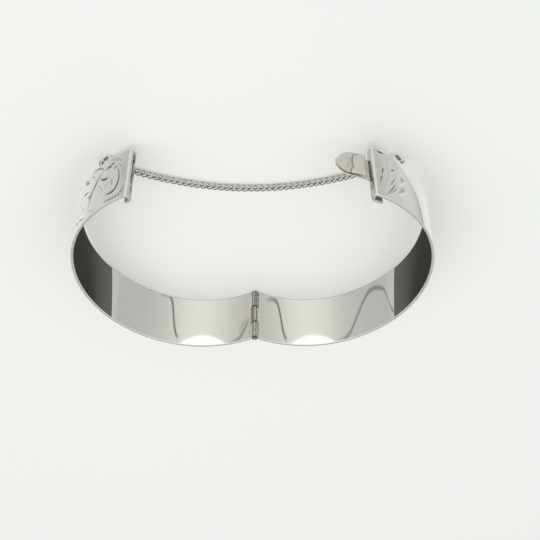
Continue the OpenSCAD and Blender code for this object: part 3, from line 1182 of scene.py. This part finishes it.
    def _knuckle(self, row: int) -> bpy.types.Object:
        """A hollow knuckle with rounded rims, and the web that joins it to the sheet.

        The knuckle is a profile of radii and heights carried round the pin. The web is a short
        stretch of the sheet's end arc between the same heights.

        Args:
            row: which knuckle it is, counted from the lower edge.
        Returns:
            The knuckle.
        """
        lay, s = self.lay, self.lay.sizes
        pitch = (s.band_width + s.hinge_clearance) / s.knuckle_count
        bottom, top = row * pitch, (row + 1) * pitch - s.hinge_clearance
        outer, bore, rim, sides = s.knuckle_diameter / 2, (s.pin_diameter + s.hinge_clearance) / 2, 0.09, 32
        quarter = np.linspace(0, math.pi / 2, 5)
        body = np.linspace(0, 1, 15)[1:-1]
        wall = outer - 0.02 * np.sin(body * 3 * math.pi) ** 2
        radii = np.concatenate(
            [[bore], outer - rim + rim * np.sin(quarter), wall, outer - rim + rim * np.cos(quarter), [bore]]
        )
        heights = np.concatenate(
            [[bottom], bottom + rim - rim * np.cos(quarter), bottom + rim + body * (top - bottom - 2 * rim),
             top - rim + rim * np.sin(quarter), [top]]
        )
        around = rays(np.linspace(0, 2 * math.pi, sides, endpoint=False))
        tube = radii[:, None, None] * around
        x = np.linspace(-lay.hinge_gap - 0.03, -0.45, 4)
        out = rays(-np.arccos((x - lay.low_centre[0]) / lay.neutral_radius))
        h, edge = lay.half_sheet, 0.05
        t = np.array([h, h, h - edge, edge - h, -h, -h, edge - h, h - edge])
        levels = np.array([bottom + edge, top - edge, top, top, top - edge, bottom + edge, bottom, bottom])
        web = lay.low_centre + (lay.neutral_radius + t[:, None]) * out[:, None, :]
        plan = np.concatenate([tube.reshape(-1, 2), web.reshape(-1, 2)])
        z = np.concatenate([np.repeat(heights, sides), np.tile(levels, len(x))])
        first = len(radii) * sides
        quads = [grid_faces(len(radii), sides, closed=True), grid_faces(*web.shape[:2], first)]
        angle = np.arctan2(plan[:, 1], plan[:, 0])
        streak = ramp(np.sin(7.0 * angle + 1.3 * row + 0.8 * np.sin(1.7 * z)), 0.35, 0.95)
        rim_near = np.minimum(abs(z - bottom), abs(z - top))
        cut = np.clip(0.8 * ramp(rim_near, 0.3, 0.0) + 0.9 * streak, 0, 0.9)
        stain = 0.42 + 0.3 * np.sin(2.0 * angle + row) ** 2
        cut[first:], stain[first:] = 0.0, 0.03
        values = {"cut": cut, "stain": stain, "rub": 1.0}
        caps = end_caps(*web.shape[:2], first)
        surface = Surface(lay.laid(plan, z, self.side), np.concatenate(quads), caps, values)
        return surface.write(self._name("knuckle") + f"_{row}", self.finish, self.side is Side.LEFT)

    def _ring(self) -> bpy.types.Object:
        """The wire ring soldered to the lower edge, a torus in the plane of the sheet.

        Returns:
            The ring.
        """
        lay, s = self.lay, self.lay.sizes
        way, out = turn(lay.ring_angle + 90), turn(lay.ring_angle)
        sides, wire = self.ring_sides
        u = np.linspace(0, 2 * math.pi, sides, endpoint=False)[:, None]
        v = np.linspace(0, 2 * math.pi, wire, endpoint=False)
        reach = s.ring_radius + s.ring_wire / 2 * np.cos(v)
        thick = s.ring_wire / 2 * np.sin(v) + 0 * u
        xy = lay.ring_centre + (reach * np.cos(u))[..., None] * way + thick[..., None] * out
        z = reach * np.sin(u) - s.ring_out
        # Painted reflection: the inner side of the wire is darker and browner, standing for the band
        # mirrored in it.
        foot, inside = hump(z, 0.1, 0.4), ramp(-np.cos(v), -0.2, 0.5)
        stain = 0.02 + 0.3 * foot + 0.4 * inside
        values = {"cut": 0.2 * foot + 0.72 * inside, "stain": stain, "rub": 0.3}
        surface = Surface(lay.laid(xy, z, self.side), grid_faces(sides, wire, closed=True), [], values)
        return surface.write(self._name("ring"), self.finish, self.side is Side.RIGHT)


@dataclass
class CatchTongue:
    """The tongue: one strip folded over at its round tip into two springy leaves.

    Args:
        lay: the places.
        finish: its silver.
        crease: (height above the lower edge, distance from the end plate) along a line on the upper
        leaf with a slight dent, a painted dark reflection along it, and a browner tip beyond it.
        columns: points across each leaf.
        steps: points along each leaf, and round its fold.
    """

    lay: Layout
    finish: bpy.types.Material
    crease: tuple[Place, ...] = (
        (3.7, 3.2), (4.2, 4.0), (4.9, 4.8), (6.9, 5.1), (8.6, 4.9), (9.5, 5.4), (10.5, 5.6)
    )
    columns: int = 31
    steps: tuple[int, int] = (61, 12)

    def build(self) -> None:
        """Carries the strip's section from its root along the lower leaf, round the fold and back.

        The half width follows the plan: full up to the tip, then sqrt(1 - x^2) of it.
        """
        lay, s = self.lay, self.lay.sizes
        middle, normal, upper = self._middle_line()
        tip_start = lay.seam + s.tongue_length - s.tongue_width / 2
        x = np.clip((middle[:, 0] + 0.1 - tip_start) / (s.tongue_width / 2), 0, 0.96)
        half_width = s.tongue_width / 2 * np.sqrt(1 - x**2)
        across = np.linspace(-1, 1, self.columns)
        share = np.concatenate([across, across[::-1]])
        thick = np.repeat([1.0, -1.0], self.columns) * s.leaf / 2
        thick = thick * np.where(abs(share) > 0.999, 0.45, 1.0)
        ends = np.ones(len(middle))
        ends[[0, -1]] = 0.5
        z = s.catch_height + share * half_width[:, None]
        from_plate = (middle[:, 0] - lay.seam)[:, None]
        heights, distances = smooth_curve(self.crease, ROW_STEPS).T
        past = from_plate - np.interp(z, heights, distances)
        dent = 0.03 * hump(past, 0.0, 0.16) * upper[:, None] * (thick > 0)
        xy = middle[:, None, :] + normal[:, None, :] * (thick * ends[:, None] - dent)[..., None]
        points = lay.laid(xy, z, Side.RIGHT)
        tip, edge = upper[:, None] * ramp(past, -0.1, 0.25), ramp(abs(share), 0.9, 1.0)
        catch = hump(from_plate, s.catch_distance, 0.35) * upper[:, None]
        stain = 0.24 + 0.1 * (1 - upper[:, None]) + 0.12 * tip + 0.5 * catch
        # Painted reflection: the dark line along the crease. Painted shade: the darker side edges of both
        # leaves.
        cut = 0.85 * hump(past, -0.02, 0.14) * upper[:, None] + 0.5 * catch + 0.25 * edge
        values = {"cut": cut, "stain": stain, "rub": 0.5 + 0.5 * upper[:, None]}
        surface = Surface(points, grid_faces(*z.shape), end_caps(*z.shape), values)
        ride(surface.write("tongue", self.finish), "catch_tongue")

    def _middle_line(self) -> tuple[Array, Array, Array]:
        """Middle of the strip: root, lower leaf, half circle at the fold, sprung upper leaf.

        Returns:
            Points, normals (down on the lower leaf, up on the upper one), and 1 on the upper leaf.
        """
        lay, s = self.lay, self.lay.sizes
        inward = s.wall + s.root_length
        root = Segment(np.array([lay.seam - inward, lay.leaf_line]), 0, 0, inward)
        root_points, root_normals = root.at(np.linspace(0, root.length, 6))
        leaf_steps, fold_steps = self.steps
        low = rays(np.radians(90 - np.linspace(0, lay.fold_sweep, leaf_steps)[1:]))
        tip = 90 - lay.fold_sweep
        round_tip = rays(np.radians(np.linspace(tip - 180, tip - s.leaf_spread, fold_steps)[1:]))
        back = rays(np.radians(90 - np.linspace(lay.fold_sweep, lay.catch_sweep, leaf_steps)[1:]))
        points = [
            root_points,
            lay.tongue_centre + s.tongue_bend * low,
            lay.fold_point + s.leaf / 2 * round_tip,
            lay.sprung(lay.tongue_centre + (s.tongue_bend + s.leaf) * back),
        ]
        normals = [-root_normals, -low, round_tip, spin(back, -s.leaf_spread)]
        upper = np.concatenate([np.zeros(len(root_points) + len(low) + len(round_tip)), np.ones(len(back))])
        return np.concatenate(points), np.concatenate(normals), upper


@dataclass
class SafetyChain:
    """The chain of twisted links, laid in a sagging curve between the two rings.

    Args:
        lay: the places.
        finish: its silver.
        route_steps: straight steps from the middle of the route to either end.
        link_sides: points round a link, and round its wire.
        worn: how much of the wire's thickness is left after wear.
    """

    lay: Layout
    finish: bpy.types.Material
    route_steps: int = 60
    link_sides: tuple[int, int] = (40, 8)
    worn: float = 0.8

    def build(self) -> None:
        """Sets the links along the route.

        A link's middle line is (a cos t, b sin t, c sin 2t), with its round wire carried along.
        """
        s = self.lay.sizes
        centre, basis = self._frames()
        sides, wire = self.link_sides
        t = 2 * math.pi * (np.arange(sides) + 0.5) / sides
        a, b, c = s.link_half_length, s.link_half_width, s.link_twist
        ring = np.stack([a * np.cos(t), b * np.sin(t), c * np.sin(2 * t)], -1)
        run = np.stack([-a * np.sin(t), b * np.cos(t), 2 * c * np.cos(2 * t)], -1)
        out = unit(np.cross(run, [0.0, 0.0, 1.0]))
        over = unit(np.cross(out, run))
        around = rays(2 * math.pi * np.arange(wire) / wire)
        tube = out[:, None, :] * around[:, :1] + over[:, None, :] * around[:, 1:]
        link = ring[:, None, :] + self.worn * s.link_wire / 2 * tube
        points = centre[:, None, None, :] + link @ basis[:, None]
        starts = np.arange(len(centre)) * sides * wire
        quads = (grid_faces(sides, wire, closed=True) + starts[:, None, None]).reshape(-1, 4)
        # Painted shade and highlight: the wire is darkened on its underside, on the links' inner sides and
        # where links hook through each other; its upper side gets less stain as a painted highlight.
        under, top = ramp(-tube[..., 2], 0.2, 0.9), ramp(tube[..., 2], 0.5, 0.95)
        inward = np.clip(-(tube[..., :2] * unit(ring)[:, None, :2]).sum(-1), 0, 1)
        crossing = ramp(abs(np.cos(t)), 0.6, 0.95)[:, None]
        cut = np.clip(0.4 * crossing + 0.5 * under + 0.85 * ramp(inward, 0.3, 0.8), 0, 0.95)
        stain = 0.5 + 0.3 * crossing + 0.3 * inward - 0.5 * top
        surface = Surface(points, quads, [], {"cut": cut, "stain": stain, "rub": 0.3})
        ride(surface.write("chain", self.finish), "safety_chain")

    def _frames(self) -> tuple[Array, Array]:
        """Centre and axes of each link.

        The route is the parabola y = y0 + k (x^2 - x0^2) between the outer legs of the rings. The
        chain sinks to the surface along the smooth rise 3t^2 - 2t^3.

        Returns:
            (n, 3) centres and (n, 3, 3) axes: along, across and up.
        """
        lay, s = self.lay, self.lay.sizes
        low = s.link_twist + s.link_wire / 2 + s.floor_gap
        hook = low + (lay.ring_drop - s.ring_out - low) * s.hook_share
        drop = lay.ring_drop - hook
        reach = math.sqrt(s.ring_radius**2 - (drop - s.ring_out) ** 2)
        leg_point = lay.ring_centre + reach * turn(lay.ring_angle + 90)
        leg = lay.laid(leg_point, -drop, Side.LEFT)
        x = -leg[0] * np.arange(-self.route_steps, self.route_steps + 1) / self.route_steps
        sag = math.tan(math.radians(s.chain_slope)) / (-2 * leg[0])
        route = np.stack([x, leg[1] + sag * (x * x - leg[0] ** 2)], -1)
        step = np.diff(route, axis=0)
        run = np.concatenate([[0.0], np.cumsum(np.linalg.norm(step, axis=1))])
        first = s.link_half_length - s.link_wire / 2 - s.ring_wire / 2 - s.link_gap
        count = math.ceil((run[-1] - 2 * first) / s.link_pitch) + 1
        at = np.linspace(first, run[-1] - first, count)

        def level(d: Array) -> Array:
            """Height of the chain's middle at lengths along the route."""
            return hook + (low - hook) * ramp(np.minimum(d, run[-1] - d), 0.0, s.settle_length)

        flat = np.stack([np.interp(at, run, route[:, 0]), np.interp(at, run, route[:, 1])], -1)
        k = np.clip(np.searchsorted(run, at, side="right") - 1, 0, len(step) - 1)
        heading = unit(step[k])
        rise = (level(at + 0.1) - level(at - 0.1)) / 0.2
        along = unit(np.concatenate([heading, rise[:, None]], -1))
        across = np.stack([-heading[:, 1], heading[:, 0], 0 * rise], -1)
        centre = np.concatenate([flat, level(at)[:, None]], -1)
        return centre, np.stack([along, across, np.cross(along, across)], 1)


@dataclass
class Studio:
    """Pale floor, soft light tent, lamps and the camera.

    Args:
        lay: the places.
        focal: focal length over the picture's width.
        eye: camera position in the opened bangle's axes, in millimetres.
        forward: where it looks, in the same axes.
        up: the picture's upward direction.
        floor_gap: depth of the floor below the bangle, in millimetres.
        floor_reach: half the width of the floor, in millimetres.
        card_depth: depth of the dark card, in millimetres.
        card_edge: corners (x, y) down the card's right side, in millimetres.
    """

    lay: Layout
    focal: float = 906.3 / 540.0
    eye: tuple[float, float, float] = (3.740, 199.862, 162.134)
    forward: tuple[float, float, float] = (0.00231, -0.76044, -0.64940)
    up: tuple[float, float, float] = (0.00540, 0.64940, -0.76043)
    floor_gap: float = 0.02
    floor_reach: float = 1500.0
    card_depth: float = 60.0
    card_edge: tuple[Place, ...] = ((30, -28), (72, -22), (58, -40), (50, -52), (46, -66), (46, -105))

    def build(self) -> None:
        """Sets up floor, card, tent, lamps, camera and the plain view of brightness."""
        self._floor()
        self._card()
        self._tent()
        self._lamp("key_lamp", (-0.30, 0.15, 0.42), 0.42, 0.5)
        self._lamp("fill_lamp", (0.36, 0.26, 0.34), 0.40, 0.3)
        self._lamp("back_lamp", (0.02, -0.42, 0.30), 0.45, 0.25)
        self._camera()
        bpy.context.scene.view_settings.view_transform = "Standard"

    def _sheet(self, name: str, outline: Array, z: float, material: bpy.types.Material) -> bpy.types.Object:
        """A flat level sheet, turned upwards.

        Args:
            name: its name.
            outline: (n, 2) corners, anticlockwise from above, in millimetres.
            z: its height.
            material: its surface.
        Returns:
            The object.
        """
        points = np.concatenate([outline, np.full((len(outline), 1), z)], -1)
        made = Surface(points, np.zeros((0, 4), dtype=int), [np.arange(len(outline))]).write(name, material)
        return made

    def _floor(self) -> None:
        """The pale floor, which polished silver doesn't mirror: it mirrors the tent instead."""
        outline = self.floor_reach * np.array([[-1, -1], [1, -1], [1, 1], [-1, 1]])
        paint = Paint("floor_paint", (0.80, 0.814, 0.80, 1.0)).make()
        floor = self._sheet("floor", outline, -self.floor_gap, paint)
        floor.visible_glossy = False

    def _card(self) -> None:
        """A dark card below the bangle's back, which only the band's inner sides mirror."""
        right = np.array(self.card_edge)
        outline = np.concatenate([right * [-1, 1], right[::-1]])
        card = self._sheet("dark_card", outline, -self.card_depth, ShadeCard("card_face").make())
        card.visible_camera = False
        card.visible_diffuse = False
        card.visible_shadow = False

    def _tent(self) -> None:
        """The light tent, as brightness by direction.

        Azimuth runs from +Y towards +X and elevation from level upwards, both in degrees. The
        upper half brightens towards a lamp at the top and is darker behind. The lower half is
        bright ahead and behind and darker at the sides. It has one white panel, two white strips
        that the sheet's ends beside the hinge mirror, two thin dark seams and a brighter wall at
        the right.
        """
        world = bpy.data.worlds.new("light_tent")
        world.use_nodes = True
        g = Graph(world.node_tree)
        way = g.coordinates("Generated")
        x, y, z = (g.node("ShaderNodeSeparateXYZ", None, {0: way}, axis) for axis in "XYZ")
        azimuth = x.math("ARCTAN2", x, y) * math.degrees(1)
        elevation = z.math("ARCSINE", z) * math.degrees(1)
        aside = azimuth.math("ABSOLUTE", azimuth)
        low = 0.50 + 0.31 * azimuth.hump(38.0) + 0.06 * aside.step(86.0, 92.0)
        low = low + 0.25 * azimuth.step(-100.0, -128.0)
        low = low + 0.6 * aside.step(106.0, 114.0) * aside.step(146.0, 138.0) * elevation.step(-38.0, -37.0)
        low = low + 0.12 * aside.step(60.0, 75.0) * elevation.step(-41.5, -43.5) * aside.step(128.0, 100.0)
        sill = (azimuth + 9.0) / 24.0
        panel = (elevation - 0.3 * sill * sill).step(-33.98, -33.86) * elevation.step(-18.0, -24.0)
        low = low + panel * azimuth.step(-36.0, -24.0) * azimuth.step(24.0, 18.0) * (1.2 - low)
        low = self._right_wall(low, azimuth, elevation)
        low = low * (1.0 - 0.8 * self._first_seam(azimuth, elevation))
        low = low * (1.0 - 0.65 * self._second_seam(azimuth, elevation))
        behind = aside.step(110.0, 150.0) * z.step(0.86, 0.78)
        high = 0.6 + 0.35 * z.step(0.2, 0.8) - 0.30 * behind + 0.5 * z.step(0.86, 0.92)
        tent = low + z.step(-0.03, 0.03) * (high - low)
        seen = g.node("ShaderNodeLightPath", output="Is Camera Ray")
        glow = tent + seen * (0.92 - tent)
        tint = g.node("ShaderNodeCombineXYZ", None, {0: glow, 1: glow * 1.005, 2: glow * 0.985})
        light = g.node("ShaderNodeBackground", None, {"Color": tint})
        g.node("ShaderNodeOutputWorld", None, {"Surface": light})
        bpy.context.scene.world = world

    def _right_wall(self, low: Sock, azimuth: Sock, elevation: Sock) -> Sock:
        """Brightness with the edge of a brighter wall at the right, which has a thin dark line.

        With e degrees above -46.65, the edge's azimuth is 126 - 50 exp(-e / 0.65). The distance
        from it is divided by its slant.

        Args:
            low: brightness without the wall.
            azimuth: azimuth in degrees.
            elevation: elevation in degrees.
        Returns:
            Brightness with the wall.
        """
        fall = ((elevation + 46.65).kept(-0.2, 6.0) / -0.65).exp()
        slope = 2.3 * fall
        away = (azimuth - 126.0 + 50.0 * fall) / (1.0 + slope * slope).root()
        line = away.hump(1.5) * elevation.step(-42.0, -43.5) * azimuth.step(50.0, 70.0)
        wall = away.step(-0.5, 3.0) * azimuth.step(50.0, 70.0)
        return (low + wall * (0.15 + 0.13 * azimuth.step(95.0, 140.0))) * (1.0 - 0.5 * line)

    def _first_seam(self, azimuth: Sock, elevation: Sock) -> Sock:
        """A thin seam that runs down from the white panel, hooks aside and ends.

        With t degrees below the panel, its azimuth is 20 + 5.5 (1 - exp(-t / 0.35)) + 2.3 t +
        0.9 exp((t - 2.75) / 0.24). The distance from it is divided by its slant.

        Args:
            azimuth: azimuth in degrees.
            elevation: elevation in degrees.
        Returns:
            Darkness from 0 to 1.
        """
        t = (-33.6 - elevation).kept(0.0, 3.7)
        start, hook = (t / -0.35).exp(), 0.9 * ((t - 2.75) / 0.24).exp()
        away = azimuth - (25.5 - 5.5 * start + 2.3 * t + hook)
        slope = 0.19 + 1.3 * start + 0.34 * hook
        distance = away / (1.0 + slope * slope).root()
        return distance.hump(0.95) * t.step(0.1, 0.4) * t.step(3.7, 3.5) * azimuth.step(48.0, 40.0)

    def _second_seam(self, azimuth: Sock, elevation: Sock) -> Sock:
        """A thin seam that starts under the panel, arches over and comes back.

        With u = -azimuth, its elevation is -36.25 - 2.6 tanh((u - 56.5) / 15) plus a smooth rise
        of 1.2 between u = 84 and u = 92.

        Args:
            azimuth: azimuth in degrees.
            elevation: elevation in degrees.
        Returns:
            Darkness from 0 to 1.
        """
        u = -azimuth
        bend = (u - 56.5) / 15.0
        level = elevation + 36.25 + 2.6 * bend.math("TANH", bend) - 1.2 * u.step(84.0, 92.0)
        return level.hump(0.12) * u.step(28.0, 45.0) * u.step(98.0, 90.0)

    def _lamp(self, name: str, at: tuple[float, float, float], size: float, power: float) -> None:
        """A square soft lamp that points at the bangle.

        Args:
            name: its name.
            at: its place, in metres.
            size: length of its side, in metres.
            power: its power in watts.
        """
        lamp = bpy.data.lights.new(name, "AREA")
        lamp.shape = "SQUARE"
        lamp.size = size
        lamp.energy = power
        made = bpy.data.objects.new(name, lamp)
        made.location = at
        made.rotation_euler = (-Vector(at)).to_track_quat("-Z", "Y").to_euler()
        bpy.context.scene.collection.objects.link(made)
        made.visible_glossy = False

    def _camera(self) -> None:
        """The camera, turned by its forward and upward directions."""
        camera = bpy.data.cameras.new("camera")
        camera.sensor_width = 36.0
        camera.sensor_fit = "HORIZONTAL"
        camera.lens = camera.sensor_width * self.focal
        camera.clip_start = 0.01
        forward = unit(self.lay.tilted(np.array(self.forward)))
        right = unit(np.cross(forward, self.lay.tilted(np.array(self.up))))
        eye = self.lay.laid_free(np.array(self.eye)) * METRES
        matrix = np.eye(4)
        matrix[:3] = np.stack([right, np.cross(right, forward), -forward, eye], -1)
        made = bpy.data.objects.new("camera", camera)
        made.matrix_world = Matrix(matrix.tolist())
        bpy.context.scene.collection.objects.link(made)
        bpy.context.scene.camera = made


def main() -> None:
    """Builds the pieces in order."""
    logging.basicConfig(level=logging.INFO, format="%(message)s")
    sizes = Sizes()
    lay = Layout(sizes)
    band = Silver("band_silver").make()
    tongue = Silver("tongue_silver", roughness=0.12, rubbed=0.06).make()
    chain = Silver("chain_silver", (0.97, 0.96, 0.94, 1.0), (0.46, 0.36, 0.30, 1.0), roughness=0.06).make()
    pin = Silver("pin_silver", bright=(0.52, 0.47, 0.39, 1.0), roughness=0.3).make()
    BandHalf(
        Side.LEFT, "left_half", lay, band, (0, 2),
        sizes.slotted_tab_length, sizes.slot_width, left_engraving(),
        plate_stains=((2.4, 2.2, 1.1, 0.8, 0.95), (7.0, 3.6, 1.9, 0.4, 0.9), (12.6, 2.2, 1.3, 0.7, 0.8)),
        plate_cuts=((2.0, 1.2, 1.2, 0.4, 0.5), (12.6, 1.0, 1.6, 0.3, 0.4)),
        smudges=((3.1, 0.5, 11.6, 1.3, 0.35), (2.3, 0.45, 10.3, 0.8, 0.45), (1.3, 0.9, 9.7, 0.4, 0.35)),
    ).build()
    BandHalf(
        Side.RIGHT, "right_half", lay, band, (1,),
        sizes.tab_length, sizes.tongue_width + 2 * sizes.root_clearance, right_engraving(),
        plate_stains=((6.0, 4.0, 1.0, 0.6, 0.8), (12.6, 2.4, 1.2, 0.8, 0.7)),
        plate_cuts=((12.4, 1.5, 0.6, 0.2, 0.5), (10.75, 0.22, 0.9, 0.9, 0.85), (6.0, 3.6, 1.7, 0.2, 0.25)),
    ).build()
    CatchTongue(lay, tongue).build()
    SafetyChain(lay, chain).build()
    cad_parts["hinge_pin"].material_slots[0].material = pin
    Studio(lay).build()


if __name__ == "__main__":
    main()
